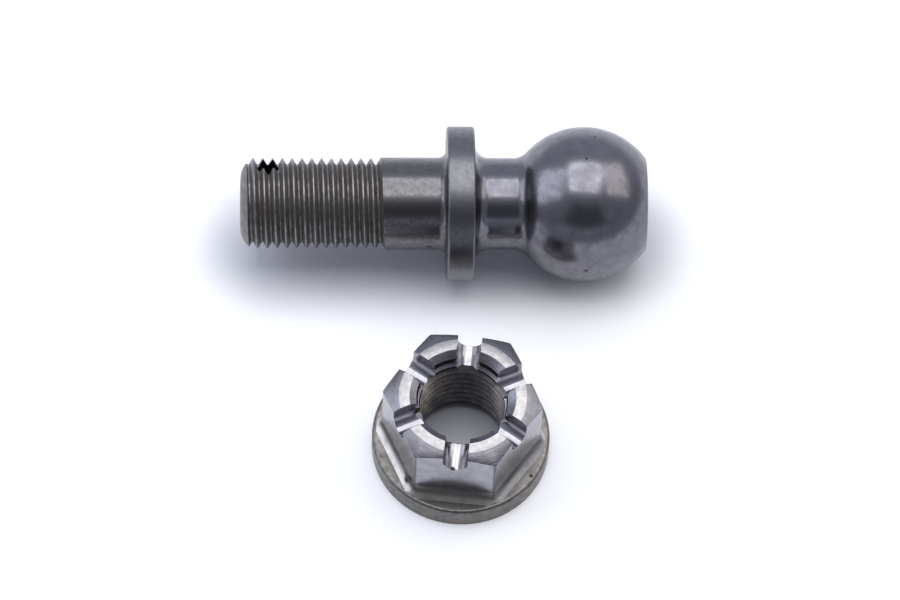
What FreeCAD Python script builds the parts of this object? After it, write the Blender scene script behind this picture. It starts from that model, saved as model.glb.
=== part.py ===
"""Ball stud and slotted flange nut of a suspension ball joint, laid out side by side.

Frame: millimetres, origin at the centre of the ball, +X along the stud from its thread to its ball,
+Z up. The stud lies on its ball and its collar, and the nut stands on its flange in front of it.
"""
import math
import os

import FreeCAD, Part

Vector = FreeCAD.Vector

# The metric screw thread that the stud and the nut share
THREAD_D = 14.0
THREAD_PITCH = 1.5
THREAD_FLANK = math.radians(30)
STUD_THREAD_ALLOWANCE = 0.125    # the stud's thread stands this far inside the basic profile
NUT_THREAD_ALLOWANCE = 0.05      # the nut's groove stands this far outside the basic profile

# Ball stud, lengths measured along its axis
BALL_D = 23.6
BALL_FLAT_X = 9.5                # the turned end face, from the ball's centre
BALL_FLAT_EDGE_R = 0.6
SEAT_X = -21.0                   # the collar's seating face, from the ball's centre
COLLAR_D = BALL_D                # the stud lies level on its ball and its collar
COLLAR_WIDTH = 4.2
COLLAR_EDGE_R = 0.4
SHANK_D = 14.1
SHANK_LENGTH = 10.0
NECK_D = 14.0
SEAT_FILLET_R = 1.3
COLLAR_NECK_FILLET_R = 2.3
NECK_BALL_FILLET_R = 2.8
THREAD_LENGTH = 21.5
GROOVE_START = 1.584             # a groove's middle, straight above the axis, this far before the tip
GROOVE_END = 0.07                # the groove's middle stops underneath, this far before the shank
TIP_FLAT_R = 3.65
TIP_ROUND_R = 4.0

# Split pin, its hole through the stud and the slots of the nut that it crosses
PIN_D = 3.2
PIN_HOLE_FROM_TIP = 4.25
PIN_HOLE_TILT = 57.0             # degrees above the level, on the back
SLOT_CLEARANCE = 0.45            # the slots are this much wider than the split pin
SLOT_DEPTH = 3.7

# Slotted flange nut, heights measured from its seating face
NUT_HEIGHT = 16.0
NUT_ACROSS_FLATS = 21.0
HEX_CORNER_R = 0.5
HEX_FOOT_Z = 4.65
FLANGE_D = 26.9
FLANGE_THICKNESS = 3.7
FLANGE_EDGE_R = 0.6
SKIRT_WIDTH = 1.1                # the sloping foot around the hexagon, as seen from above
CROWN_D = 19.15                  # the flat ring on top
CROWN_CHAMFER = 27.5             # degrees below the level, outside the ring
TOP_COUNTERSINK_D = 16.0
TOP_COUNTERSINK_HALF_ANGLE = math.radians(60)
SEAT_COUNTERSINK_D = 15.2
SEAT_COUNTERSINK_HALF_ANGLE = math.radians(45)

# Where the nut stands beside the stud
NUT_X = -18.95
NUT_Y = -35.4
NUT_TURN = -6.8                  # degrees, of a hexagon corner away from +X

OVERCUT = 0.5                    # how far a cutter reaches past the face that it opens

BALL_R = BALL_D / 2
TABLE_Z = -BALL_R
SHANK_START_X = SEAT_X - SHANK_LENGTH
TIP_X = SHANK_START_X - THREAD_LENGTH
PITCH_R = THREAD_D / 2 - 3 * math.sqrt(3) / 16 * THREAD_PITCH
STUD_CREST_R = THREAD_D / 2 - STUD_THREAD_ALLOWANCE
NUT_CREST_R = THREAD_D / 2 - 5 * math.sqrt(3) / 16 * THREAD_PITCH


def revolved(outline, origin, axis):
    """Solid of revolution from a closed list of edges in one half plane."""
    return Part.Face(Part.Wire(outline)).revolve(origin, axis, 360)


def line(a, b):
    return Part.LineSegment(a, b).toShape()


def edges_at(shape, x, radius):
    """Circular edges around the stud's axis at this place."""
    found = []
    for edge in shape.Edges:
        curve = edge.Curve
        if not isinstance(curve, Part.Circle):
            continue
        if abs(curve.Center.x - x) < 1e-3 and abs(curve.Radius - radius) < 1e-3:
            found.append(edge)
    return found


def stud_blank():
    """The turned stud: tip, thread blank, shank, collar, neck and ball."""
    def at(x, r):
        return Vector(x, 0, r)

    shank_r = SHANK_D / 2
    collar_r = COLLAR_D / 2
    neck_r = NECK_D / 2
    collar_end_x = SEAT_X + COLLAR_WIDTH

    # the rounded tip is an arc that leaves the end face tangent and runs up to the crest radius
    arc_rise = STUD_CREST_R - TIP_FLAT_R
    arc_run = TIP_ROUND_R - math.sqrt(TIP_ROUND_R ** 2 - arc_rise ** 2)
    mid_angle = math.asin(arc_rise / TIP_ROUND_R) / 2
    tip_middle = at(TIP_X + TIP_ROUND_R * (1 - math.cos(mid_angle)),
                    TIP_FLAT_R + TIP_ROUND_R * math.sin(mid_angle))
    tip_start = at(TIP_X, TIP_FLAT_R)
    tip_end = at(TIP_X + arc_run, STUD_CREST_R)
    tip_arc = Part.Arc(tip_start, tip_middle, tip_end).toShape()

    # the ball runs from the neck to its flat end
    ball_start_angle = math.pi - math.asin(neck_r / BALL_R)
    ball_end_angle = math.acos(BALL_FLAT_X / BALL_R)
    ball_start = at(BALL_R * math.cos(ball_start_angle), neck_r)
    ball_end = at(BALL_FLAT_X, BALL_R * math.sin(ball_end_angle))
    ball_arc = Part.Arc(ball_start, at(0, BALL_R), ball_end).toShape()

    step = shank_r - STUD_CREST_R
    first = [at(TIP_X, 0), tip_start]
    middle = [tip_end, at(SHANK_START_X - step, STUD_CREST_R), at(SHANK_START_X, shank_r),
              at(SEAT_X, shank_r), at(SEAT_X, collar_r), at(collar_end_x, collar_r),
              at(collar_end_x, neck_r), ball_start]
    last = [ball_end, at(BALL_FLAT_X, 0), at(TIP_X, 0)]
    outline = [line(*first), tip_arc]
    outline += [line(a, b) for a, b in zip(middle, middle[1:])]
    outline += [ball_arc]
    outline += [line(a, b) for a, b in zip(last, last[1:])]
    blank = revolved(outline, Vector(0, 0, 0), Vector(1, 0, 0))

    rounds = [
        (SEAT_X, shank_r, SEAT_FILLET_R),
        (SEAT_X, collar_r, COLLAR_EDGE_R),
        (collar_end_x, collar_r, COLLAR_EDGE_R),
        (collar_end_x, neck_r, COLLAR_NECK_FILLET_R),
        (ball_start.x, neck_r, NECK_BALL_FILLET_R),
        (BALL_FLAT_X, ball_end.z, BALL_FLAT_EDGE_R),
    ]
    for x, radius, fillet_r in rounds:
        blank = blank.makeFillet(fillet_r, edges_at(blank, x, radius))
    return blank


def screw_cutter(corners, length):
    """Right-hand screw-shaped cutter along +Z, from an outline of corners (radius, height)."""
    points = [Vector(radius, 0, height) for radius, height in corners]
    sides = [line(a, b) for a, b in zip(points, points[1:] + points[:1])]
    straight = 0.0
    path = Part.makeLongHelix(THREAD_PITCH, length, corners[0][0], straight)
    return Part.Wire(path).makePipeShell([Part.Wire(sides)], True, True)


def stud_thread_cutter():
    """The groove of the stud's thread. It runs out in the edge of the shank, so it reaches past that."""
    middle_r = PITCH_R - STUD_THREAD_ALLOWANCE
    root_half = THREAD_PITCH / 12
    root_r = middle_r - (THREAD_PITCH / 4 - root_half) / math.tan(THREAD_FLANK)
    mouth_r = STUD_CREST_R + STUD_THREAD_ALLOWANCE
    mouth_half = THREAD_PITCH / 4 + (mouth_r - middle_r) * math.tan(THREAD_FLANK)
    over_r = SHANK_D / 2 + OVERCUT
    outline = [(root_r, -root_half), (root_r, root_half), (mouth_r, mouth_half),
               (over_r, mouth_half), (over_r, -mouth_half), (mouth_r, -mouth_half)]
    cutter = screw_cutter(outline, GROOVE_START + THREAD_LENGTH - GROOVE_END)
    cutter.rotate(Vector(0, 0, 0), Vector(0, 1, 0), 90)
    cutter.rotate(Vector(0, 0, 0), Vector(1, 0, 0), 180)
    cutter.translate(Vector(TIP_X - GROOVE_START, 0, 0))
    return cutter


def nut_thread_cutter():
    """The groove of the nut's thread, through both countersinks."""
    middle_r = PITCH_R + NUT_THREAD_ALLOWANCE
    root_r = THREAD_D / 2 + NUT_THREAD_ALLOWANCE
    mouth_r = NUT_CREST_R - NUT_THREAD_ALLOWANCE
    root_half = THREAD_PITCH / 4 - (root_r - middle_r) * math.tan(THREAD_FLANK)
    mouth_half = THREAD_PITCH / 4 + (middle_r - mouth_r) * math.tan(THREAD_FLANK)
    outline = [(root_r, -root_half), (root_r, root_half), (mouth_r, mouth_half), (mouth_r, -mouth_half)]
    cutter = screw_cutter(outline, NUT_HEIGHT + 2 * THREAD_PITCH)
    cutter.translate(Vector(0, 0, -THREAD_PITCH))
    return cutter


def pin_hole_cutter():
    """The split pin's hole across the stud, near its tip."""
    tilt = math.radians(PIN_HOLE_TILT)
    along = Vector(0, math.cos(tilt), math.sin(tilt))
    reach = STUD_CREST_R + OVERCUT
    start = Vector(TIP_X + PIN_HOLE_FROM_TIP, 0, 0) - along * reach
    return Part.makeCylinder(PIN_D / 2, 2 * reach, start, along)


def ball_stud():
    return stud_blank().cut(stud_thread_cutter()).cut(pin_hole_cutter())


def rounded_hexagon(apothem, corner_r, z):
    """Closed outline of a hexagon with rounded corners, its first corner towards +X."""
    inner_corner_r = (apothem - corner_r) / math.cos(math.radians(30))
    edges = []
    for i in range(6):
        arc = []
        for offset in (-30, 0, 30):
            centre_angle = math.radians(60 * i)
            angle = math.radians(60 * i + offset)
            x = inner_corner_r * math.cos(centre_angle) + corner_r * math.cos(angle)
            y = inner_corner_r * math.sin(centre_angle) + corner_r * math.sin(angle)
            arc.append(Vector(x, y, z))
        edges.append(Part.Arc(*arc).toShape())
    sides = []
    for this, following in zip(edges, edges[1:] + edges[:1]):
        sides.append(line(this.Vertexes[-1].Point, following.Vertexes[0].Point))
    loop = [edge for pair in zip(edges, sides) for edge in pair]
    return Part.Wire(loop)


def crowned_hexagon():
    """The spanner hexagon, its top turned to a flat ring with a chamfer outside it."""
    prism = Part.Face(rounded_hexagon(NUT_ACROSS_FLATS / 2, HEX_CORNER_R, 0))
    prism = prism.extrude(Vector(0, 0, NUT_HEIGHT))
    crown_r = CROWN_D / 2
    reach_r = NUT_ACROSS_FLATS / 2 / math.cos(math.radians(30)) + OVERCUT
    edge_z = NUT_HEIGHT - (reach_r - crown_r) * math.tan(math.radians(CROWN_CHAMFER))
    corners = [Vector(0, 0, 0), Vector(reach_r, 0, 0), Vector(reach_r, 0, edge_z),
               Vector(crown_r, 0, NUT_HEIGHT), Vector(0, 0, NUT_HEIGHT)]
    outline = [line(a, b) for a, b in zip(corners, corners[1:] + corners[:1])]
    return prism.common(revolved(outline, Vector(0, 0, 0), Vector(0, 0, 1)))


def flange():
    """The round flange with its rounded edge, and the sloping foot that carries the hexagon."""
    radius = FLANGE_D / 2
    disc = Part.makeCylinder(radius, FLANGE_THICKNESS)
    rim = [e for e in disc.Edges if isinstance(e.Curve, Part.Circle) and e.Curve.Center.z > 0]
    disc = disc.makeFillet(FLANGE_EDGE_R, rim)
    half = NUT_ACROSS_FLATS / 2
    foot = Part.makeLoft([
        rounded_hexagon(half + SKIRT_WIDTH, HEX_CORNER_R + SKIRT_WIDTH, FLANGE_THICKNESS),
        rounded_hexagon(half, HEX_CORNER_R, HEX_FOOT_Z),
    ], True, True)
    inside_edge = Part.makeCylinder(radius - FLANGE_EDGE_R, NUT_HEIGHT)
    return disc.fuse(foot.common(inside_edge))


def countersink(mouth_d, half_angle, depth_sign, z):
    """Cone that opens a hole of the nut's crest radius to mouth_d at height z."""
    mouth_r = mouth_d / 2
    slope = 1 / math.tan(half_angle)
    depth = mouth_r * slope
    wide_r = mouth_r + OVERCUT / slope
    base = Vector(0, 0, z - depth_sign * depth)
    return Part.makeCone(0, wide_r, depth + OVERCUT, base, Vector(0, 0, depth_sign))


def slot_cutters():
    """Three round-bottomed cuts straight across the nut make the six slots."""
    width = PIN_D + SLOT_CLEARANCE
    radius = width / 2
    floor_z = NUT_HEIGHT - SLOT_DEPTH
    reach = FLANGE_D / 2
    top_z = NUT_HEIGHT + OVERCUT
    left, right = Vector(-radius, -reach, top_z), Vector(radius, -reach, top_z)
    low_left = Vector(-radius, -reach, floor_z + radius)
    low_right = Vector(radius, -reach, floor_z + radius)
    bottom = Vector(0, -reach, floor_z)
    outline = [line(left, low_left), Part.Arc(low_left, bottom, low_right).toShape(),
               line(low_right, right), line(right, left)]
    bar = Part.Face(Part.Wire(outline)).extrude(Vector(0, 2 * reach, 0))
    cutters = []
    for i in range(3):
        cutter = bar.copy()
        cutter.rotate(Vector(0, 0, 0), Vector(0, 0, 1), 60 * i)
        cutters.append(cutter)
    return cutters


def slotted_flange_nut():
    nut = flange().fuse(crowned_hexagon()).removeSplitter()
    nut = nut.cut(Part.makeCylinder(NUT_CREST_R, NUT_HEIGHT))
    nut = nut.cut(countersink(TOP_COUNTERSINK_D, TOP_COUNTERSINK_HALF_ANGLE, 1, NUT_HEIGHT))
    nut = nut.cut(countersink(SEAT_COUNTERSINK_D, SEAT_COUNTERSINK_HALF_ANGLE, -1, 0))
    nut = nut.cut(nut_thread_cutter())
    for cutter in slot_cutters():
        nut = nut.cut(cutter)
    nut.rotate(Vector(0, 0, 0), Vector(0, 0, 1), NUT_TURN)
    nut.translate(Vector(NUT_X, NUT_Y, TABLE_Z))
    return nut


def write_parts():
    os.makedirs("parts", exist_ok=True)
    pieces = {
        "ball_stud": ball_stud(),
        "slotted_flange_nut": slotted_flange_nut(),
    }
    for name, shape in pieces.items():
        solid = shape.Solids[0]
        print(name, "solids", len(shape.Solids), "valid", shape.isValid(), "volume", round(solid.Volume, 1))
        shape.exportStep("parts/" + name + ".step")


write_parts()
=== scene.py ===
# %% [markdown]
# # A ball stud and its slotted flange nut
# The object is two loose steel parts of a suspension ball joint. The stud is turned and ground from one
# bar: a threaded end with a cross hole for a split pin, a plain shank, a collar, a neck and a ball with a
# flat end. The nut is a hexagon on a round flange, and six slots across its top take the split pin.
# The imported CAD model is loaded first, because it fixes the sizes and the places of both parts. Every
# finished piece is in metres, in the frame of that model, whose origin is the centre of the ball.

# %% Load the frame and keep its box
import math

import bmesh
import bpy
from mathutils import Matrix, Vector


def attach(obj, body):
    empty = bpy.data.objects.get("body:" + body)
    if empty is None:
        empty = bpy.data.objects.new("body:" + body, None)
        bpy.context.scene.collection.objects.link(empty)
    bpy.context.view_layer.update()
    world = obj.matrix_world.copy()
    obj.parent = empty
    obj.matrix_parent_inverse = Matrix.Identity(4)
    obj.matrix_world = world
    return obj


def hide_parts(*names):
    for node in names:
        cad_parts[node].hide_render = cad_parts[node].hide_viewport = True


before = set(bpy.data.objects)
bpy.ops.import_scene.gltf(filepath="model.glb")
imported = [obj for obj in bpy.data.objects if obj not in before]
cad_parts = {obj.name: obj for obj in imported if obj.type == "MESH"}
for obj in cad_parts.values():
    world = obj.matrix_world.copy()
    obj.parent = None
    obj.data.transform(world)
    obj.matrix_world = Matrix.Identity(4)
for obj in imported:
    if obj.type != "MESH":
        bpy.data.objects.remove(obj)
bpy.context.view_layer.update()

# %% [markdown]
# ## Sizes of the stud
# A fitting like this is made to a drawing in millimetres, so the pieces are modelled in millimetres and
# scaled to metres when they are put in place. The numbers repeat those of the CAD model. X runs along the
# stud from its threaded tip to its ball.

# %% Sizes of the stud in millimetres
TIP_X, SHANK_X, SEAT_X = -52.5, -31.0, -21.0
COLLAR_WIDTH = 4.2
BALL_R, BALL_FLAT_X = 11.8, 9.5
CREST_R, SHANK_R, NECK_R = 6.875, 7.05, 7.0
print("stud", BALL_FLAT_X - TIP_X, "mm long, ball", 2 * BALL_R, "mm across")

# %% [markdown]
# ## Drawing a profile
# Anything that comes off a lathe is one profile, turned a full circle. A pen is enough to draw a profile:
# it starts at a vertex, and each stroke extrudes that vertex along a line or spins it round the centre
# of an arc. The strokes stay in the XZ plane. For the stud, X is the place along it and Z the radius. For
# the nut it is the other way round.

# %% A pen for profiles
TURN_STEPS = 180


def start_at(bm, x, z):
    return bmesh.ops.create_vert(bm, co=(x, 0, z))["vert"][0]


def line_to(bm, pen, x, z):
    """Draw a straight stroke and return the vertex at its end."""
    pen = bmesh.ops.extrude_vert_indiv(bm, verts=[pen])["verts"][0]
    pen.co = (x, 0, z)
    return pen


def swing(bm, pen, centre_x, centre_z, degrees, steps):
    """Draw an arc round a centre. Clockwise is positive, with X to the right and Z up."""
    made = bmesh.ops.spin(bm, geom=[pen], cent=(centre_x, 0, centre_z), axis=(0, 1, 0),
                          angle=math.radians(degrees), steps=steps)
    return [v for v in made["geom_last"] if isinstance(v, bmesh.types.BMVert)][0]


def turn(bm, axis):
    """Spin the whole profile a full circle round an axis and close the solid."""
    bmesh.ops.spin(bm, geom=bm.verts[:] + bm.edges[:], cent=(0, 0, 0), axis=axis,
                   angle=math.tau, steps=TURN_STEPS, use_merge=True)
    bmesh.ops.remove_doubles(bm, verts=bm.verts, dist=0.0005)
    bmesh.ops.recalc_face_normals(bm, faces=bm.faces)


# %% [markdown]
# ## Cutting one solid with another
# Holes, slots and threads are cut after the blank is turned, as in the workshop. A Boolean modifier does
# that, and its result is kept as the piece's own mesh so that nothing depends on the cutter afterwards.
# Its Manifold solver is made for closed solids like these. It is quick and leaves the cut closed.

# %% Pieces and cutters
def piece(name, bm):
    """Make an object of a finished bmesh."""
    mesh = bpy.data.meshes.new(name)
    bm.to_mesh(mesh)
    bm.free()
    made = bpy.data.objects.new(name, mesh)
    bpy.context.scene.collection.objects.link(made)
    return made


def machine(blank, tool, operation="DIFFERENCE"):
    """Cut, join or intersect the blank with a tool, and remove the tool."""
    step = blank.modifiers.new("machine", "BOOLEAN")
    step.operation, step.solver, step.object = operation, "MANIFOLD", tool
    graph = bpy.context.evaluated_depsgraph_get()
    result = bpy.data.meshes.new_from_object(blank.evaluated_get(graph))
    blank.modifiers.clear()
    blank.data = result
    bpy.data.objects.remove(tool)
    print(blank.name, "after this step:", len(result.polygons), "faces")


# %% [markdown]
# ## The stud's blank
# The profile runs from the middle of the tip to the middle of the ball's flat end. The two hollows beside
# the collar and the one before the ball are arcs: sharp inner corners would crack in use. The place where
# the last hollow meets the ball is found from the two radii, so that the line flows without a kink.

# %% Draw the threaded end, the shank and the collar
TIP_FLAT_R, TIP_ROUND_R = 3.65, 4.0
SEAT_FILLET, COLLAR_FILLET, COLLAR_EDGE = 1.3, 2.3, 0.4
EDGE_STEPS, FILLET_STEPS, HOLLOW_STEPS = 6, 12, 16

bm = bmesh.new()
pen = start_at(bm, TIP_X, 0)
pen = line_to(bm, pen, TIP_X, TIP_FLAT_R)
tip_degrees = math.degrees(math.asin((CREST_R - TIP_FLAT_R) / TIP_ROUND_R))
pen = swing(bm, pen, TIP_X + TIP_ROUND_R, TIP_FLAT_R, tip_degrees, FILLET_STEPS)
pen = line_to(bm, pen, SHANK_X - (SHANK_R - CREST_R), CREST_R)
pen = line_to(bm, pen, SHANK_X, SHANK_R)
pen = line_to(bm, pen, SEAT_X - SEAT_FILLET, SHANK_R)
pen = swing(bm, pen, SEAT_X - SEAT_FILLET, SHANK_R + SEAT_FILLET, -90, FILLET_STEPS)
pen = line_to(bm, pen, SEAT_X, BALL_R - COLLAR_EDGE)
pen = swing(bm, pen, SEAT_X + COLLAR_EDGE, BALL_R - COLLAR_EDGE, 90, EDGE_STEPS)
collar_end = SEAT_X + COLLAR_WIDTH
pen = line_to(bm, pen, collar_end - COLLAR_EDGE, BALL_R)
pen = swing(bm, pen, collar_end - COLLAR_EDGE, BALL_R - COLLAR_EDGE, 90, EDGE_STEPS)
pen = line_to(bm, pen, collar_end, NECK_R + COLLAR_FILLET)
pen = swing(bm, pen, collar_end + COLLAR_FILLET, NECK_R + COLLAR_FILLET, -90, HOLLOW_STEPS)
print("profile so far", len(bm.verts), "vertices")

# %% Draw the neck and the ball, and turn the blank
BALL_FILLET, BALL_EDGE, BALL_STEPS = 2.8, 0.6, 72

hollow_z = NECK_R + BALL_FILLET
hollow_x = -math.sqrt((BALL_R + BALL_FILLET) ** 2 - hollow_z ** 2)
hollow_degrees = math.degrees(math.atan2(-hollow_x, hollow_z))
pen = line_to(bm, pen, hollow_x, NECK_R)
pen = swing(bm, pen, hollow_x, hollow_z, -hollow_degrees, HOLLOW_STEPS)
edge_x = BALL_FLAT_X - BALL_EDGE
edge_z = math.sqrt((BALL_R - BALL_EDGE) ** 2 - edge_x ** 2)
edge_degrees = math.degrees(math.atan2(edge_x, edge_z))
pen = swing(bm, pen, 0, 0, hollow_degrees + edge_degrees, BALL_STEPS)
pen = swing(bm, pen, edge_x, edge_z, 90 - edge_degrees, EDGE_STEPS)
line_to(bm, pen, BALL_FLAT_X, 0)
turn(bm, (1, 0, 0))
stud = piece("ball_stud_turned", bm)
print("stud blank", len(stud.data.polygons), "faces")

# %% [markdown]
# ## The thread
# On the real stud rollers press the thread into the bar. The same groove can be cut by a pointed tool that
# moves along by one pitch for every turn, and the spin operator does that: it takes a small offset for
# each step, so the tool's outline leaves a long screw-shaped bar behind it. A Screw modifier would also
# do, but then the run-out would be missing: near the shank the groove grows shallow over half a turn, as
# if the tool were drawn out while the part still turns.
# The flanks of a metric thread stand at 30 degrees, and its valley is a narrow flat.

# %% A cutter in the shape of a screw
PITCH = 1.5
STEPS_PER_TURN = 96


def screw_cutter(bm, corners, axis, start_along, degrees, out_degrees=0, out_by=0):
    """Sweep the outline of a tool along a right-hand screw, and draw it out over the last part."""
    axis = Vector(axis)
    tool = [bmesh.ops.create_vert(bm, co=corner)["vert"][0] for corner in corners]
    ring = [bm.edges.new((a, b)) for a, b in zip(tool, tool[1:] + tool[:1])]
    bmesh.ops.translate(bm, verts=tool, vec=axis * start_along)
    steps = round(STEPS_PER_TURN * degrees / 360)
    angle = math.tau / STEPS_PER_TURN
    advance = axis * PITCH / STEPS_PER_TURN
    made = bmesh.ops.spin(bm, geom=ring, cent=(0, 0, 0), axis=axis, dvec=advance,
                          angle=angle * steps, steps=steps)
    ring = [e for e in made["geom_last"] if isinstance(e, bmesh.types.BMEdge)]
    out_steps = round(STEPS_PER_TURN * out_degrees / 360)
    for _ in range(out_steps):
        grown = bmesh.ops.extrude_edge_only(bm, edges=ring)["geom"]
        verts = [v for v in grown if isinstance(v, bmesh.types.BMVert)]
        ring = [e for e in grown if isinstance(e, bmesh.types.BMEdge)
                and e.verts[0] in verts and e.verts[1] in verts]
        bmesh.ops.rotate(bm, verts=verts, cent=(0, 0, 0), matrix=Matrix.Rotation(angle, 3, axis))
        middle = sum((v.co for v in verts), Vector()) / len(verts)
        outward = (middle - axis * middle.dot(axis)).normalized()
        bmesh.ops.translate(bm, verts=verts, vec=advance + outward * out_by / out_steps)
    bmesh.ops.holes_fill(bm, edges=bm.edges, sides=len(corners))
    bmesh.ops.recalc_face_normals(bm, faces=bm.faces)


# %% Cut the thread of the stud
ROOT_R, MOUTH_R, OVER_R = 5.955, 7.0, 7.55
HALF_ROOT, FLANK = 0.125, math.radians(30)
GROOVE_START, GROOVE_END = TIP_X - 1.584, SHANK_X - 0.09
RUN_OUT_DEGREES, RUN_OUT = 180, 1.3

half_mouth = HALF_ROOT + (MOUTH_R - ROOT_R) * math.tan(FLANK)
groove = [(-half_mouth, 0, OVER_R), (-half_mouth, 0, MOUTH_R), (-HALF_ROOT, 0, ROOT_R),
          (HALF_ROOT, 0, ROOT_R), (half_mouth, 0, MOUTH_R), (half_mouth, 0, OVER_R)]
groove_degrees = (GROOVE_END - GROOVE_START) / PITCH * 360
bm = bmesh.new()
screw_cutter(bm, groove, (1, 0, 0), GROOVE_START, groove_degrees, RUN_OUT_DEGREES, RUN_OUT)
machine(stud, piece("thread_cutter", bm))

# %% [markdown]
# ## The cross hole
# The split pin goes through a hole near the tip. The stud lies rolled on its side, so that the hole leans
# back by 33 degrees from the vertical and only its rim shows between the crests of the thread. A cylinder
# right through the stud cuts both of its mouths at once, as a drill does.

# %% Drill the hole for the split pin
PIN_R, PIN_FROM_TIP, PIN_LEAN = 1.6, 4.25, math.radians(33)
DRILL_LENGTH = 16

bm = bmesh.new()
bmesh.ops.create_cone(bm, cap_ends=True, segments=64, radius1=PIN_R, radius2=PIN_R, depth=DRILL_LENGTH)
bmesh.ops.rotate(bm, verts=bm.verts, cent=(0, 0, 0), matrix=Matrix.Rotation(-PIN_LEAN, 3, "X"))
bmesh.ops.translate(bm, verts=bm.verts, vec=(TIP_X + PIN_FROM_TIP, 0, 0))
machine(stud, piece("drill", bm))

# %% [markdown]
# ## The nut's body
# The nut starts as a hexagonal bar. The lathe rounds its top to a flat ring and a cone, which cuts each
# flat side in a curve: here the bar is kept only where a turned shape with that top overlaps it. Below,
# the hexagon grows out of the flange through a sloping foot. Its six corners are parts of cones, which is
# just what the inset operator makes of a hexagon with rounded corners.

# %% Tools for the nut
def hexagon(bm, half_flats, corner_r, z):
    """One flat face: a hexagon with round corners, one of them towards +X."""
    radius = half_flats / math.cos(math.pi / 6)
    made = bmesh.ops.create_circle(bm, cap_ends=True, segments=6, radius=radius)
    bmesh.ops.rotate(bm, verts=made["verts"], cent=(0, 0, 0), matrix=Matrix.Rotation(math.pi / 6, 3, "Z"))
    bmesh.ops.translate(bm, verts=made["verts"], vec=(0, 0, z))
    bmesh.ops.bevel(bm, geom=bm.verts[:], offset=corner_r * math.tan(math.pi / 6), segments=8,
                    profile=0.5, affect="VERTICES", material=-1)
    return bm.faces[:]


def raise_faces(bm, faces, height):
    """Extrude faces straight up and return the new top faces."""
    grown = bmesh.ops.extrude_face_region(bm, geom=faces)["geom"]
    verts = [v for v in grown if isinstance(v, bmesh.types.BMVert)]
    bmesh.ops.translate(bm, verts=verts, vec=(0, 0, height))
    return [f for f in grown if isinstance(f, bmesh.types.BMFace)]


def turned_disc(name, strokes):
    """A solid turned round Z from straight strokes, given as radius and height."""
    bm = bmesh.new()
    pen = start_at(bm, *strokes[0])
    for radius, height in strokes[1:]:
        pen = line_to(bm, pen, radius, height)
    turn(bm, (0, 0, 1))
    return piece(name, bm)


# %% Hexagon and crown
NUT_HEIGHT, HALF_FLATS, CORNER_R = 16.0, 10.5, 0.5
CROWN_R, CROWN_SLOPE = 9.575, math.tan(math.radians(27.5))
BURIED_Z, OVER_TOP, OVER_CORNERS_R = 2.0, 1.0, 13.0

bm = bmesh.new()
raise_faces(bm, hexagon(bm, HALF_FLATS, CORNER_R, BURIED_Z), NUT_HEIGHT + OVER_TOP - BURIED_Z)
bmesh.ops.recalc_face_normals(bm, faces=bm.faces)
nut = piece("slotted_nut_machined", bm)
crown_low_z = NUT_HEIGHT - (OVER_CORNERS_R - CROWN_R) * CROWN_SLOPE
crown = turned_disc("crown", [(0, 0), (OVER_CORNERS_R, 0), (OVER_CORNERS_R, crown_low_z),
                              (CROWN_R, NUT_HEIGHT), (0, NUT_HEIGHT)])
machine(nut, crown, "INTERSECT")

# %% Sloping foot
FLANGE_R, FLANGE_Z, FLANGE_EDGE = 13.45, 3.7, 0.6
FOOT_OUT, FOOT_RISE, FOOT_OVERLAP = 1.1, 0.95, 0.15

bm = bmesh.new()
low = hexagon(bm, HALF_FLATS + FOOT_OUT, CORNER_R + FOOT_OUT, BURIED_Z)
top = raise_faces(bm, low, FLANGE_Z - BURIED_Z)
inwards = FOOT_OUT + FOOT_OVERLAP
bmesh.ops.inset_region(bm, faces=top, thickness=inwards, use_even_offset=True)
bmesh.ops.translate(bm, verts=list({v for f in top for v in f.verts}),
                    vec=(0, 0, FOOT_RISE * inwards / FOOT_OUT))
bmesh.ops.recalc_face_normals(bm, faces=bm.faces)
foot = piece("foot", bm)
edge_r, below, above = FLANGE_R - FLANGE_EDGE, 1, 6
inside_edge = turned_disc("inside", [(0, below), (edge_r, below), (edge_r, above), (0, above)])
machine(foot, inside_edge, "INTERSECT")

# %% Flange, joined to the foot and the hexagon
bm = bmesh.new()
pen = line_to(bm, start_at(bm, 0, 0), FLANGE_R, 0)
pen = line_to(bm, pen, FLANGE_R, FLANGE_Z - FLANGE_EDGE)
pen = swing(bm, pen, edge_r, FLANGE_Z - FLANGE_EDGE, -90, 8)
line_to(bm, pen, 0, FLANGE_Z)
turn(bm, (0, 0, 1))
machine(nut, foot, "UNION")
machine(nut, piece("flange", bm), "UNION")

# %% [markdown]
# ## Bore, thread and slots of the nut
# The bore is one turned cutter with a cone at each end, the countersinks. Between the slots it widens
# gently, so that the crests of the thread grow lower towards the top and its grooves still show right
# under the ring. The bore's thread is the same screw as the stud's, with its groove towards the outside.
# The slots are round-bottomed bars: a cylinder whose upper half is pulled up through the top. Each bar
# goes right across, so three of them make six slots.

# %% Bore
BORE_R, TOP_SINK_R, SEAT_SINK_R = 6.188, 8.0, 7.6
FLARE_R, FLARE_Z, SEAT_SINK_Z = 6.95, 12.4, 2.4
REACH = 1.0

top_slope = math.tan(math.radians(60))
seat_slope = (SEAT_SINK_R - BORE_R) / SEAT_SINK_Z
top_sink_z = NUT_HEIGHT - (TOP_SINK_R - FLARE_R) / top_slope
bore = turned_disc("bore", [(0, -REACH), (SEAT_SINK_R + REACH * seat_slope, -REACH), (BORE_R, SEAT_SINK_Z),
                            (BORE_R, FLARE_Z), (FLARE_R, top_sink_z),
                            (TOP_SINK_R + REACH * top_slope, NUT_HEIGHT + REACH),
                            (0, NUT_HEIGHT + REACH)])
machine(nut, bore)

# %% Tap the bore
TAP_MOUTH_R, TAP_ROOT_R = 6.09, 7.2
HALF_TAP_MOUTH, HALF_TAP_ROOT = 0.73, 0.094
TAP_TURNS = 12.6

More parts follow.
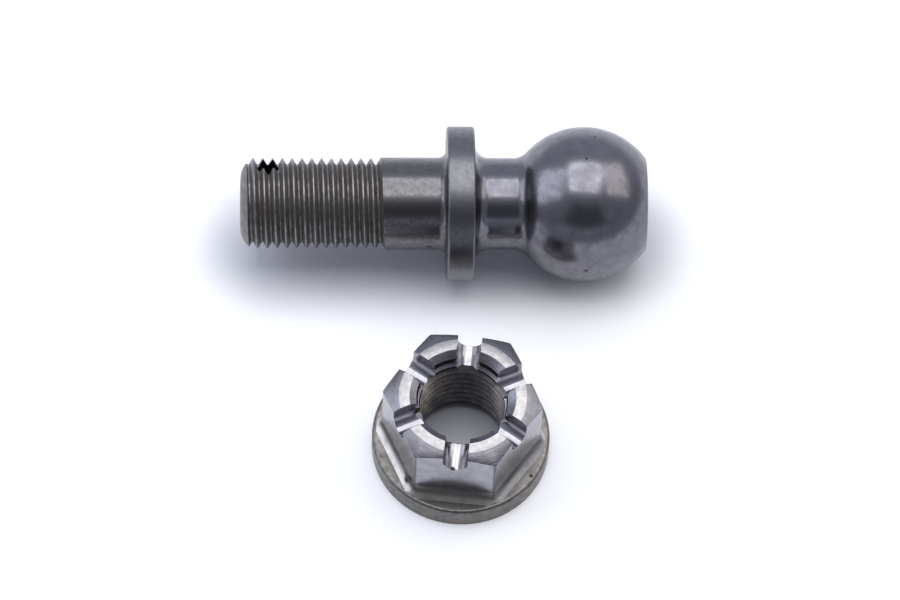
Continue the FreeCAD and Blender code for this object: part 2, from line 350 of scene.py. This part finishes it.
bm = bmesh.new()
groove = [(TAP_MOUTH_R, 0, -HALF_TAP_MOUTH), (TAP_ROOT_R, 0, -HALF_TAP_ROOT),
          (TAP_ROOT_R, 0, HALF_TAP_ROOT), (TAP_MOUTH_R, 0, HALF_TAP_MOUTH)]
screw_cutter(bm, groove, (0, 0, 1), -PITCH, 360 * TAP_TURNS)
machine(nut, piece("tap", bm))

# %% Mill the slots
SLOT_R, SLOT_FLOOR = 1.825, NUT_HEIGHT - 3.7
SLOT_BARS, BAR_LENGTH, PULLED_UP = 3, 28, 4


def slot_turn(bar):
    """The angle of a slot bar round the nut's axis."""
    return math.radians(180 / SLOT_BARS * bar)


for bar in range(SLOT_BARS):
    bm = bmesh.new()
    bmesh.ops.create_cone(bm, cap_ends=True, segments=48, radius1=SLOT_R, radius2=SLOT_R, depth=BAR_LENGTH)
    bmesh.ops.rotate(bm, verts=bm.verts, cent=(0, 0, 0), matrix=Matrix.Rotation(math.pi / 2, 3, "X"))
    bmesh.ops.translate(bm, verts=[v for v in bm.verts if v.co.z > 1e-4], vec=(0, 0, PULLED_UP))
    bmesh.ops.translate(bm, verts=bm.verts, vec=(0, 0, SLOT_FLOOR + SLOT_R))
    bmesh.ops.rotate(bm, verts=bm.verts, cent=(0, 0, 0), matrix=Matrix.Rotation(slot_turn(bar), 3, "Z"))
    machine(nut, piece("slot_cutter", bm))

# %% [markdown]
# ## Which finish goes where
# One piece of steel can carry several finishes: a rolled thread, a ground shank, a blasted collar. Each
# face gets the number of its finish from its place, which is easy while the mesh still has the simple
# axes that it was machined on. Slots are found by their distance from the slots' middle planes. The other
# way would be to split the mesh into a piece for each finish, but the steel is one piece.

# %% Finishes of the stud's faces
ROLLED, GROUND, BLASTED, POLISHED, DRILLED = range(5)
SLACK, HAIR = 0.02, 0.01    # mm, so that a face right on a limit still falls on its own side


def stud_finish(face):
    at = face.center
    radius = math.hypot(at.y, at.z)
    if radius < ROOT_R - SLACK and TIP_X + 1 < at.x < SHANK_X:
        return DRILLED
    if at.x < SHANK_X - 0.1 or radius < SHANK_R - HAIR and at.x < SHANK_X + 1:
        return ROLLED
    if at.x < SEAT_X - SLACK:
        return GROUND
    return BLASTED if at.x < collar_end + SLACK else POLISHED


# %% Finishes of the nut's faces
DRAWN, TURNED, FACED, MILLED, TAPPED, FORGED, FOOT = range(7)
CROWN_DEEP, SINK_DEEP = 3, 0.6
CONE_UP, FOOT_UP, DOWN = 0.8, 0.6, -0.6    # a normal's Z is 0.89 on the cone and 0.76 on the foot


def nut_finish(face):
    at, facing = face.center, face.normal
    radius = math.hypot(at.x, at.y)
    for bar in range(SLOT_BARS):
        aside = abs(at.x * math.cos(slot_turn(bar)) + at.y * math.sin(slot_turn(bar)))
        if at.z > SLOT_FLOOR - HAIR and aside < SLOT_R + HAIR and radius > BORE_R + 0.1:
            return MILLED
    if at.z > NUT_HEIGHT - HAIR:
        return FACED
    in_top_sink = at.z > NUT_HEIGHT - SINK_DEEP and radius < TOP_SINK_R
    if in_top_sink or facing.z > CONE_UP and at.z > NUT_HEIGHT - CROWN_DEEP:
        return TURNED
    if radius < TOP_SINK_R:
        return TAPPED
    # The sloping foot, which carries a painted highlight and painted shade.
    if facing.z > FOOT_UP and FLANGE_Z + SLACK < at.z < FLANGE_Z + FOOT_RISE + SLACK:
        return FOOT
    return FORGED if at.z < FLANGE_Z + SLACK or facing.z < DOWN else DRAWN


# %% Number the faces
for made, finish in ((stud, stud_finish), (nut, nut_finish)):
    made.data.materials.clear()
    for face in made.data.polygons:
        face.material_index = finish(face)
    used = [face.material_index for face in made.data.polygons]
    print(made.name, "faces of each finish", [used.count(i) for i in range(max(used) + 1)])

# %% [markdown]
# ## In place
# The finished meshes are baked to their places in metres, so that both objects sit at the origin. The
# stud stays where it was drawn, with its collar and ball on the table. The nut stands beside it, turned a
# little. Faces are shaded smooth, and edges sharper than 28 degrees stay sharp.

# %% Put both pieces in place
TABLE_Z = -BALL_R
NUT_PLACE = Matrix.Translation((-18.95, -35.4, TABLE_Z)) @ Matrix.Rotation(math.radians(-6.8), 4, "Z")
SHARP = math.radians(28)


def place(made, matrix):
    """Bake a place into the mesh, so that the object itself stays at the origin."""
    made.data.transform(Matrix.Scale(0.001, 4) @ matrix)
    made.data.shade_smooth()
    made.data.set_sharp_from_angle(angle=SHARP)
    made.data.update()
    lowest = min(v.co.z for v in made.data.vertices)
    print(made.name, "stands at", round(lowest * 1000, 2), "mm")


place(stud, Matrix.Identity(4))
place(nut, NUT_PLACE)

# %% [markdown]
# ## How the steel is made to look like steel
# Bare steel is a metal, so almost all that the eye sees on it is a reflection: its own colour only tints
# and dims that. What tells one finish from another is how blurred the reflection is, which is roughness,
# and the fine relief that the tool left, which is bump. A faint cloudiness in colour and roughness keeps
# it from looking like plastic. The patterns are worked out in millimetres from Object coordinates.

# %% Helpers for materials
def colour(code):
    """Linear colour from an sRGB hex value."""
    parts = [int(code[i:i + 2], 16) / 255 for i in (1, 3, 5)]
    return [p / 12.92 if p <= 0.04045 else ((p + 0.055) / 1.055) ** 2.4 for p in parts] + [1]


def add(tree, kind, links=(), values=(), **settings):
    """Add a node, set its fields or sockets by name, set more sockets to values, and link its inputs."""
    node = tree.nodes.new(kind)
    for name, value in settings.items():
        if hasattr(node, name):
            setattr(node, name, value)
        else:
            node.inputs[name.replace("_", " ")].default_value = value
    for socket, value in values:
        node.inputs[socket].default_value = value
    for socket, source in links:
        tree.links.new(source, node.inputs[socket])
    return node


def new_material(name):
    """An empty material, ready for its nodes."""
    made = bpy.data.materials.new(name)
    made.use_nodes = True
    made.node_tree.nodes.clear()
    return made


def millimetres(tree, centre=(0, 0, 0)):
    """Object coordinates in millimetres, counted from a centre."""
    metres = add(tree, "ShaderNodeTexCoord").outputs["Object"]
    scaled = add(tree, "ShaderNodeVectorMath", [(0, metres)], operation="SCALE", Scale=1000.0)
    counted = add(tree, "ShaderNodeVectorMath", [(0, scaled.outputs[0])], [(1, centre)], operation="SUBTRACT")
    return counted.outputs[0]


# %% [markdown]
# ## One recipe for every steel finish
# The base colour is built up in layers: clouds between two shades of steel, then painted highlights,
# dark specks and last a brown film, which hides the metal under it. The film is oil, and on the front of
# the nut's foot it is painted shade as well. The relief is built up in the same way: lines from a belt or
# wheel, rings from a lathe, and a grain. Under all of it the Bevel node rounds sharp edges in the shading
# alone, because no real edge is quite sharp.
# A recipe with a few numbers for each finish was chosen over a dozen separate ones, so that the finishes
# clearly belong to the same steel.

# %% The recipe
PAINTED_HIGHLIGHT_STEEL, SPECK = "#d3d0cc", "#232122"
EDGE_MM = 0.08
THICK_FILM_METALLIC = 0.25


def steel(name, dark, light, roughness, vary, cloud_mm, grain_mm, grain_depth, lines=None, rings=None,
          marks=(), painted_highlight=None, darkening=None, darkening_colour="#5a4a38", centre=(0, 0, 0)):
    """A bare steel finish. All lengths are in millimetres.

    lines: how many there are in a millimetre along X, Y and Z, and their depth. They run where it is few.
    rings: their spacing round the Z axis and their depth.
    marks: dark specks, each a place and a radius.
    Two functions may add nodes: one returns where a highlight is painted, the other how thick the brown film
    is, which is oil and, on the nut's foot, painted shade too.
    """
    made = new_material(name)
    tree = made.node_tree
    at = millimetres(tree, centre)
    cloud = add(tree, "ShaderNodeTexNoise", [("Vector", at)], Scale=1 / cloud_mm, Detail=4.0, Roughness=0.62)
    shade = add(tree, "ShaderNodeMapRange", [("Value", cloud.outputs[0])], From_Min=0.32, From_Max=0.68)
    blur = add(tree, "ShaderNodeMapRange", [("Value", cloud.outputs[0])], From_Min=0.3, From_Max=0.7,
               To_Min=roughness + vary, To_Max=roughness - vary)

    # A painted highlight comes first, where one is given.
    layers = [(painted_highlight(tree, at), PAINTED_HIGHLIGHT_STEEL)] if painted_highlight else []
    for mark, radius in marks:
        away = add(tree, "ShaderNodeVectorMath", [(0, at)], [(1, mark)], operation="DISTANCE")
        spot = add(tree, "ShaderNodeMapRange", [("Value", away.outputs["Value"])],
                   interpolation_type="SMOOTHSTEP", From_Min=radius, From_Max=radius * 0.45)
        layers.append((spot.outputs[0], SPECK))
    # Last the brown film: oil, and on the front of the nut's foot painted shade as well.
    if darkening:
        film = darkening(tree, at)
        layers.append((film, darkening_colour))
    mixed = add(tree, "ShaderNodeMix", [("Factor", shade.outputs[0])],
                [(6, colour(dark)), (7, colour(light))], data_type="RGBA")
    for share, code in layers:
        mixed = add(tree, "ShaderNodeMix", [("Factor", share), (6, mixed.outputs[2])],
                    [(7, colour(code))], data_type="RGBA")

    reliefs = []
    if lines:
        stretched = add(tree, "ShaderNodeVectorMath", [(0, at)], [(1, lines[0])], operation="MULTIPLY")
        streaks = add(tree, "ShaderNodeTexNoise", [("Vector", stretched.outputs[0])], Scale=1.0, Detail=2.0)
        reliefs.append((streaks.outputs[0], lines[1]))
    if rings:
        flat = add(tree, "ShaderNodeVectorMath", [(0, at)], [(1, (1, 1, 0))], operation="MULTIPLY")
        radius = add(tree, "ShaderNodeVectorMath", [(0, flat.outputs[0])], operation="LENGTH")
        ridges = add(tree, "ShaderNodeTexNoise", [("W", radius.outputs["Value"])], noise_dimensions="1D",
                     Scale=1 / rings[0], Detail=1.0)
        reliefs.append((ridges.outputs[0], rings[1]))
    grain = add(tree, "ShaderNodeTexNoise", [("Vector", at)], Scale=1 / grain_mm, Detail=3.0)
    reliefs.append((grain.outputs[0], grain_depth))
    facing = add(tree, "ShaderNodeBevel", Radius=EDGE_MM / 1000, samples=6)
    for height, depth in reliefs:
        facing = add(tree, "ShaderNodeBump", [("Height", height), ("Normal", facing.outputs[0])],
                     Strength=1.0, Distance=depth / 1000)

    shader = add(tree, "ShaderNodeBsdfPrincipled",
                 [("Base Color", mixed.outputs[2]), ("Roughness", blur.outputs[0]),
                  ("Normal", facing.outputs[0])], Metallic=1.0)
    if darkening:
        bare = add(tree, "ShaderNodeMapRange", [("Value", film)], To_Min=1.0, To_Max=THICK_FILM_METALLIC)
        tree.links.new(bare.outputs[0], shader.inputs["Metallic"])
    add(tree, "ShaderNodeOutputMaterial", [("Surface", shader.outputs[0])])
    print(name, len(tree.nodes), "nodes")
    return made


# %% [markdown]
# ## Finishes of the stud
# The stud is chromium alloy steel, left bare under a film of oil. The oil and the thin oxide under it take
# most of the brightness, so the base colours are far darker than clean steel. One material for the whole
# stud would need a mask for each zone, so each way of finishing gets a material of its own instead. The
# tool marks and grains below are really finer than a tenth of a millimetre, and each is drawn as coarse
# as it needs to be to show.

# %% [markdown]
# ### The ball is polished
# Polishing leaves nearly clear reflections, and the belt leaves fine lines round the ball. Its real lines
# are some 0.05 mm apart; here they are 0.5 mm apart, just enough to roughen the edges of the reflections.
# Three small dark specks are painted on it.

# %% Ball and neck: polished alloy steel
ball = steel("polished_alloy_steel", "#66656c", "#77767d", 0.24, 0.06, 1.6, 0.3, 0.0012,
             lines=((2.0, 0.09, 0.09), 0.007),
             marks=[((0.14, -11.8, 0.29), 0.4), ((1.42, 6.11, 9.99), 0.3), ((0.0, 1.26, 11.73), 0.25)])

# %% [markdown]
# ### The shank is ground
# A grinding wheel leaves even, shallow scratches round the shank, so its one highlight has soft edges.
# They are drawn 0.25 mm apart. Finger marks cloud it, and there is one dark speck near the collar.

# %% Shank: ground alloy steel
shank = steel("ground_alloy_steel", "#5b5a5c", "#6c6b6e", 0.27, 0.06, 0.8, 0.22, 0.0014,
              lines=((4.0, 0.1, 0.1), 0.002), marks=[((-23.65, -6.97, -1.08), 0.65)])

# %% [markdown]
# ### The collar is blasted
# Shot blasting leaves a satin surface of tiny craters with no direction. It blurs every reflection into a
# broad glow. The craters are about 0.05 mm wide and are drawn at 0.16 mm.

# %% Collar: blasted alloy steel
collar = steel("blasted_alloy_steel", "#646468", "#737377", 0.34, 0.04, 0.7, 0.16, 0.005)

# %% [markdown]
# ### The thread is rolled, with oil in its valleys
# Rollers press the thread into shape, which leaves burnished crests. Old oil turns brown and thick in the
# valleys and dulls them, so the film follows the distance from the axis. It is thinner on the tip.

# %% Thread: rolled alloy steel
def valley_oil(tree, at):
    """A film that is thick near the root of the groove, patchy along it and thinner on the tip."""
    across = add(tree, "ShaderNodeVectorMath", [(0, at)], [(1, (0, 1, 1))], operation="MULTIPLY")
    radius = add(tree, "ShaderNodeVectorMath", [(0, across.outputs[0])], operation="LENGTH")
    film = add(tree, "ShaderNodeMapRange", [("Value", radius.outputs["Value"])],
               From_Min=CREST_R - 0.1, From_Max=ROOT_R + 0.15)
    patches = add(tree, "ShaderNodeTexNoise", [("Vector", at)], Scale=0.8, Detail=3.0)
    patchy = add(tree, "ShaderNodeMapRange", [("Value", patches.outputs[0])], From_Min=0.35, From_Max=0.6,
                 To_Min=0.25, To_Max=0.85)
    along = add(tree, "ShaderNodeSeparateXYZ", [("Vector", at)])
    off_tip = add(tree, "ShaderNodeMapRange", [("Value", along.outputs["X"])], From_Min=TIP_X + 1.2,
                  From_Max=TIP_X + 2.2, To_Min=0.6)
    for share in (patchy, off_tip):
        film = add(tree, "ShaderNodeMath", [(0, film.outputs[0]), (1, share.outputs[0])],
                   operation="MULTIPLY")
    return film.outputs[0]


thread = steel("rolled_alloy_steel", "#6f6e6f", "#918f90", 0.42, 0.06, 1.0, 0.2, 0.006, darkening=valley_oil,
               darkening_colour="#4f453b")

# %% [markdown]
# ### The pin hole is drilled
# Hardly any light reaches the wall of the hole, and its colour is painted almost black as well: painted
# shade.

# %% Split-pin hole: drilled alloy steel
# Near-black colours: painted shade in the hole.
drilled_with_painted_shade = steel("drilled_alloy_steel_painted_shade", "#221f1e", "#322f2e", 0.6, 0.05, 1.0, 0.2, 0.01)
for finish in (thread, shank, collar, ball, drilled_with_painted_shade):    # in the order of the faces' numbers
    stud.data.materials.append(finish)
print(stud.name, "has", len(stud.data.materials), "finishes")

# %% [markdown]
# ## Finishes of the nut
# The nut is medium carbon steel, bare and oiled like the stud. It is hot forged to its shape, and then only
# some of its faces are cut. Cut faces are cleaner and brighter than forged ones, and that difference is
# what makes the ring on top and the slots stand out. The patterns are centred on the nut's own axis.

# %% [markdown]
# ### The flats are burnished
# The die burnishes the six flats. They mirror the table softly and look dark, because the dim front of the
# tent is what most of them face. Specks of dirt stick to the nut, and brown oil has gathered in the corner
# between the flats and the sloping foot. The oil is a mask by height, so that it keeps to that corner.

# %% Flats: drawn carbon steel
NUT_CENTRE = tuple(NUT_PLACE.translation)
NUT_MARKS = [((-7.91, -7.97, 4.2), 1.0), ((10.5, -7.12, 3.7), 0.4), ((-1.57, -10.33, 12.3), 0.5),
             ((6.89, 1.96, 14.5), 0.6)]


def corner_oil(tree, at):
    """A patchy film in the corner between the flats and the sloping foot."""
    height = add(tree, "ShaderNodeSeparateXYZ", [("Vector", at)])
    above = add(tree, "ShaderNodeMath", [(0, height.outputs["Z"])], [(1, FLANGE_Z + FOOT_RISE)],
                operation="SUBTRACT")
    away = add(tree, "ShaderNodeMath", [(0, above.outputs[0])], operation="ABSOLUTE")
    near = add(tree, "ShaderNodeMapRange", [("Value", away.outputs[0])], From_Min=0.3, From_Max=0.08,
               To_Max=0.9)
    patches = add(tree, "ShaderNodeTexNoise", [("Vector", at)], Scale=0.25, Detail=3.0)
    patchy = add(tree, "ShaderNodeMapRange", [("Value", patches.outputs[0])], From_Min=0.36, From_Max=0.55)
    return add(tree, "ShaderNodeMath", [(0, near.outputs[0]), (1, patchy.outputs[0])],
               operation="MULTIPLY").outputs[0]


flats = steel("drawn_carbon_steel", "#58575d", "#68676e", 0.24, 0.05, 1.5, 0.25, 0.001, centre=NUT_CENTRE,
              marks=NUT_MARKS, darkening=corner_oil)

# %% [markdown]
# ### The cone is turned
# A sharp lathe tool leaves the cone and the top countersink smooth and a little brighter than the flats,
# with marks too shallow to see one by one. They are drawn 0.12 mm apart.

# %% Cone: turned carbon steel
cone = steel("turned_carbon_steel", "#6c6b71", "#7a7980", 0.25, 0.04, 1.2, 0.2, 0.0008,
             rings=(0.12, 0.02), centre=NUT_CENTRE, marks=NUT_MARKS)

# %% [markdown]
# ### The ring is faced
# The ring was cut last, across the end. It is the cleanest metal on the nut, so it glows nearly white under
# the softbox. Its marks run round the axis and spread each reflection outwards and inwards, so the ring is
# brighter at the left and right, where that reaches the side panels. The marks are drawn 0.15 mm apart.

# %% Ring: faced carbon steel
ring = steel("faced_carbon_steel", "#918f90", "#aba9aa", 0.33, 0.06, 0.8, 0.2, 0.003,
             rings=(0.15, 0.035), centre=NUT_CENTRE, marks=NUT_MARKS)

# %% [markdown]
# ### The slots are milled
# The cutter shears the slots to a bright finish, and each round floor holds a narrow strip of light.

# %% Slots: milled carbon steel
slot_wall = steel("milled_carbon_steel", "#8e8d93", "#a3a2a8", 0.2, 0.04, 1.5, 0.25, 0.0012,
                  centre=NUT_CENTRE, marks=NUT_MARKS)

# %% [markdown]
# ### The bore is tapped
# The tap tears the steel a little and oil stays in the thread, which makes it warmer. Its colour is also
# darkened: painted shade inside the bore.

# %% Bore: tapped carbon steel
# Darker colours: painted shade inside the bore, with a warm tint of oil.
tapped_with_painted_shade = steel("tapped_carbon_steel_painted_shade", "#4f4b4b", "#6a6665", 0.34, 0.06, 1.2, 0.2, 0.004, centre=NUT_CENTRE)

# %% [markdown]
# ### The flange is forged
# The flange keeps the skin of the forging die. It is satin, cloudy and slightly brown.

# %% Flange: forged carbon steel
pressed = steel("forged_carbon_steel", "#605d5b", "#7b7875", 0.36, 0.07, 1.0, 0.2, 0.005,
                centre=NUT_CENTRE, marks=NUT_MARKS)

# %% [markdown]
# ### The foot is forged, with a painted highlight and painted shade
# The sloping foot keeps the brown skin of the forging, and a bright band along its lower edge is a painted
# highlight. The oil of the corner reaches down over it, and painted shade darkens the front of the foot.

# %% Foot: forged carbon steel, rubbed bright
# Centre and radii in millimetres of the painted shade over the front of the foot.
FRONT_SHADE_AT, FRONT_SHADE_R, FRONT_SHADE_CORE_R = (-1.3, -11.1, 4.1), 6.5, 4.5


def corner_oil_and_front_shade(tree, at):
    """The corner's film of oil, and a wide painted shade over the front of the foot."""
    away = add(tree, "ShaderNodeVectorMath", [(0, at)], [(1, FRONT_SHADE_AT)], operation="DISTANCE")
    front_shade = add(tree, "ShaderNodeMapRange", [("Value", away.outputs["Value"])],
                interpolation_type="SMOOTHSTEP", From_Min=FRONT_SHADE_R, From_Max=FRONT_SHADE_CORE_R, To_Max=0.6)
    return add(tree, "ShaderNodeMath", [(0, corner_oil(tree, at)), (1, front_shade.outputs[0])],
               operation="MAXIMUM").outputs[0]


def painted_foot_highlight(tree, at):
    """1 on the lowest part of the sloping foot, where a bright band is painted as a highlight."""
    height = add(tree, "ShaderNodeSeparateXYZ", [("Vector", at)])
    low = add(tree, "ShaderNodeMapRange", [("Value", height.outputs["Z"])],
              interpolation_type="SMOOTHSTEP", From_Min=FLANGE_Z + 0.8, From_Max=FLANGE_Z + 0.3)
    patches = add(tree, "ShaderNodeTexNoise", [("Vector", at)], Scale=0.6, Detail=3.0)
    patchy = add(tree, "ShaderNodeMapRange", [("Value", patches.outputs[0])], From_Min=0.3, From_Max=0.55,
                 To_Min=0.5)
    return add(tree, "ShaderNodeMath", [(0, low.outputs[0]), (1, patchy.outputs[0])],
               operation="MULTIPLY").outputs[0]


# The foot: a painted highlight along its lower edge and painted shade over its front.
foot_steel = steel("foot_carbon_steel_painted_highlight_and_shade", "#7c7977", "#95928f", 0.33, 0.06, 1.0, 0.2, 0.004,
                   centre=NUT_CENTRE, marks=NUT_MARKS, painted_highlight=painted_foot_highlight, darkening=corner_oil_and_front_shade, darkening_colour="#4a433b")
for finish in (flats, cone, ring, slot_wall, tapped_with_painted_shade, pressed, foot_steel):    # in the order of the numbers
    nut.data.materials.append(finish)
print(nut.name, "has", len(nut.data.materials), "finishes")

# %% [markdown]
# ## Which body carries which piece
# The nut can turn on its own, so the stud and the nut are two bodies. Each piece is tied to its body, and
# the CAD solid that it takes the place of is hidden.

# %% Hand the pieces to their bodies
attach(stud, "stud")
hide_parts("ball_stud")
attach(nut, "nut")
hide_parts("slotted_flange_nut")
print("handed over", stud.name, "and", nut.name)

# %% [markdown]
# ## The floor
# The parts lie on white paper. Its own colour is a pale grey that a lamp can't burn out, and a faint glow
# lifts it to white wherever the camera or a reflection sees it. Diffuse light doesn't see the glow, so it
# isn't one more lamp. It fades out close to the parts, so the paper round them is painted darker than the
# lamps alone make it: a painted shadow, which keeps the soft shadow where they touch the paper from filling
# in.

# %% Floor
FLOOR_HALF = 1.5    # metres
GLOW = 0.31
STUD_SHADE, NUT_SHADE = (6, 15.5), (11.5, 14.2)    # mm, where the glow starts and where it is full

bm = bmesh.new()
bmesh.ops.create_grid(bm, x_segments=1, y_segments=1, size=FLOOR_HALF)
bmesh.ops.translate(bm, verts=bm.verts, vec=(0, 0, TABLE_Z / 1000))
floor = piece("floor", bm)
paper = new_material("white_paper")
tree = paper.node_tree
at = millimetres(tree)
along = add(tree, "ShaderNodeSeparateXYZ", [("Vector", at)])
under = add(tree, "ShaderNodeClamp", [("Value", along.outputs["X"])], Min=TIP_X + 6, Max=BALL_FLAT_X - 6)
stud_line = add(tree, "ShaderNodeCombineXYZ", [("X", under.outputs[0])], Z=TABLE_Z)
from_stud = add(tree, "ShaderNodeVectorMath", [(0, at), (1, stud_line.outputs[0])], operation="DISTANCE")
from_nut = add(tree, "ShaderNodeVectorMath", [(0, at)], [(1, NUT_CENTRE)], operation="DISTANCE")
print("floor", 2 * FLOOR_HALF, "m wide, at", TABLE_Z, "mm")

# %% The paper's glow
rays = add(tree, "ShaderNodeLightPath")
glow = rays.outputs["Is Camera Ray"]
for kind in ("Is Glossy Ray", "Is Transmission Ray"):
    glow = add(tree, "ShaderNodeMath", [(0, glow), (1, rays.outputs[kind])], operation="MAXIMUM").outputs[0]
# The glow fades near the stud and the nut: a painted shadow round them.
for away, (starts, full) in ((from_stud, STUD_SHADE), (from_nut, NUT_SHADE)):
    clear = add(tree, "ShaderNodeMapRange", [("Value", away.outputs["Value"])],
                interpolation_type="SMOOTHSTEP", From_Min=starts, From_Max=full)
    glow = add(tree, "ShaderNodeMath", [(0, glow), (1, clear.outputs[0])], operation="MULTIPLY").outputs[0]
glow = add(tree, "ShaderNodeMath", [(0, glow)], [(1, GLOW)], operation="MULTIPLY").outputs[0]
diffuse = add(tree, "ShaderNodeBsdfDiffuse", Color=colour("#d3d5db"))
emission = add(tree, "ShaderNodeEmission", [("Strength", glow)])
both = add(tree, "ShaderNodeAddShader", [(0, diffuse.outputs[0]), (1, emission.outputs[0])])
add(tree, "ShaderNodeOutputMaterial", [("Surface", both.outputs[0])])
floor.data.materials.append(paper)
print(paper.name, len(tree.nodes), "nodes")

# %% [markdown]
# ## The lamps
# Steel shows what is round it, so the lamps are placed by what they show on it. A large square softbox
# hangs over the parts and slightly behind: its square shows on the ball, with brighter rims, which are
# four narrow lamps just in front of it. A panel at each side lights the ends of the round parts and the
# left and right of the nut's ring. A low, dim strip in front stands for the light that comes in under the
# front of the tent.

# %% Ways to aim a lamp or the camera
def axes_from(azimuth, elevation):
    """Three axes for something that looks at the parts: across, upwards, and away from the parts.

    Azimuth 0 is behind the parts, towards +Y, 90 is at their right, towards +X.
    """
    a, e = math.radians(azimuth), math.radians(elevation)
    away = Vector((math.sin(a) * math.cos(e), math.cos(a) * math.cos(e), math.sin(e)))
    across = Vector((0, 0, 1)).cross(away).normalized()
    return across, away.cross(across), away


def stand(made, at, across, upwards, away):
    """Stand a lamp or the camera at a place, so that it looks against its last axis."""
    made.matrix_world = Matrix.Translation(at) @ Matrix((across, upwards, away)).transposed().to_4x4()
    bpy.context.scene.collection.objects.link(made)


# %% Lamps
AIM = Vector((-0.02, -0.01, 0))
BOX, RIM = 0.86, 0.14    # metres


def lamp(name, azimuth, elevation, distance, width, height, radiance, tint="#ffffff", aside=(0, 0)):
    """A softbox that faces the parts. Its aside moves it in its own plane."""
    data = bpy.data.lights.new(name, "AREA")
    data.shape, data.size, data.size_y = "RECTANGLE", width, height
    data.energy = radiance * math.pi * width * height
    data.color = colour(tint)[:3]
    across, upwards, away = axes_from(azimuth, elevation)
    at = AIM + away * distance + across * aside[0] + upwards * aside[1]
    stand(bpy.data.objects.new(name, data), at, across, upwards, away)
    print(name, round(data.energy, 2), "W")


lamp("softbox", 4, 77, 1.0, BOX, BOX, 2.15)
for side in (-1, 1):
    shift = side * (BOX - RIM) / 2
    lamp("rim_across", 4, 77, 0.99, BOX, RIM, 1.25, aside=(0, shift))
    lamp("rim_along", 4, 77, 0.99, RIM, BOX, 1.25, aside=(shift, 0))
lamp("left_panel", -78, 38, 1.0, 0.8, 0.8, 1.9, tint="#f2f5ff")
lamp("right_panel", 70, 43, 1.0, 0.8, 0.65, 1.7, tint="#fff8ee")
lamp("front_gap", 180, 18, 1.0, 1.6, 0.05, 0.5)

# %% [markdown]
# ## The tent's walls
# The walls of the light tent are dimmer than the lamps, and brightest at the back. In front is the opening
# where the photographer stands. It is dimmer still, which gives the dark patches in the middle of the
# round parts. The walls are drawn in the world's background from the direction alone, since they are far
# away compared with the size of the parts.

# %% The tent's walls
WALL_TINT = "#e0e5f4"
WALL, BACK_WALL, IN_OPENING = 0.51, 0.95, 0.35

world = bpy.data.worlds.new("light_tent")
bpy.context.scene.world = world
world.use_nodes = True
tree = world.node_tree
tree.nodes.clear()
direction = add(tree, "ShaderNodeTexCoord").outputs["Generated"]
towards = add(tree, "ShaderNodeSeparateXYZ", [("Vector", direction)])
wall = add(tree, "ShaderNodeMapRange", [("Value", towards.outputs["Y"])], interpolation_type="SMOOTHSTEP",
           From_Min=0.1, From_Max=0.95, To_Min=WALL, To_Max=BACK_WALL)
forwards = add(tree, "ShaderNodeMath", [(0, towards.outputs["Y"])], [(1, -1)], operation="MULTIPLY")
forwards = add(tree, "ShaderNodeMath", [(0, forwards.outputs[0])], [(1, 0.001)], operation="MAXIMUM")
sideways = add(tree, "ShaderNodeMath", [(0, towards.outputs["X"])], operation="ABSOLUTE")
slant = add(tree, "ShaderNodeMath", [(0, sideways.outputs[0]), (1, forwards.outputs[0])], operation="DIVIDE")
print("walls", WALL, "to", BACK_WALL, "as bright as white paper")

# %% The opening in front
SIDE, LOWER, UPPER = (0.85, 0.6), (0.37, 0.44), (0.93, 0.8)    # from the wall to inside the opening
limits = ((slant.outputs[0], SIDE), (towards.outputs["Z"], LOWER), (towards.outputs["Z"], UPPER))
within = [add(tree, "ShaderNodeMapRange", [("Value", value)], interpolation_type="SMOOTHSTEP",
              From_Min=outside, From_Max=inside).outputs[0] for value, (outside, inside) in limits]
opening = within[0]
for share in within[1:]:
    opening = add(tree, "ShaderNodeMath", [(0, opening), (1, share)], operation="MULTIPLY").outputs[0]
dimmed = add(tree, "ShaderNodeMapRange", [("Value", opening)], To_Min=1.0, To_Max=IN_OPENING)
strength = add(tree, "ShaderNodeMath", [(0, wall.outputs[0]), (1, dimmed.outputs[0])], operation="MULTIPLY")
walls = add(tree, "ShaderNodeBackground", [("Strength", strength.outputs[0])], Color=colour(WALL_TINT))
add(tree, "ShaderNodeOutputWorld", [("Surface", walls.outputs[0])])
print("tent", len(tree.nodes), "nodes")

# %% [markdown]
# ## Camera
# The camera looks down at 61 degrees from the front, slightly from the left and slightly rolled. Its
# distance and lens were found by fitting the outlines of the parts to the photograph. The view transform
# is Standard, so that a colour renders about as it is written.

# %% Camera
AZIMUTH, ELEVATION, ROLL, DISTANCE, LENS = 180 + 3.047, 61.436, math.radians(2.8), 0.910791, 236.8

camera = bpy.data.objects.new("camera", bpy.data.cameras.new("camera"))
camera.data.sensor_fit, camera.data.sensor_width, camera.data.lens = "HORIZONTAL", 36, LENS
camera.data.clip_start, camera.data.clip_end = 0.05, 10
across, upwards, away = axes_from(AZIMUTH, ELEVATION)
target = Vector((-0.020267, -0.01035, TABLE_Z / 1000))
rolled_across = across * math.cos(ROLL) + upwards * math.sin(ROLL)
rolled_up = upwards * math.cos(ROLL) - across * math.sin(ROLL)
stand(camera, target + away * DISTANCE, rolled_across, rolled_up, away)
bpy.context.scene.camera = camera
bpy.context.scene.view_settings.view_transform = "Standard"
print("camera at", [round(v, 3) for v in camera.matrix_world.translation], "m")
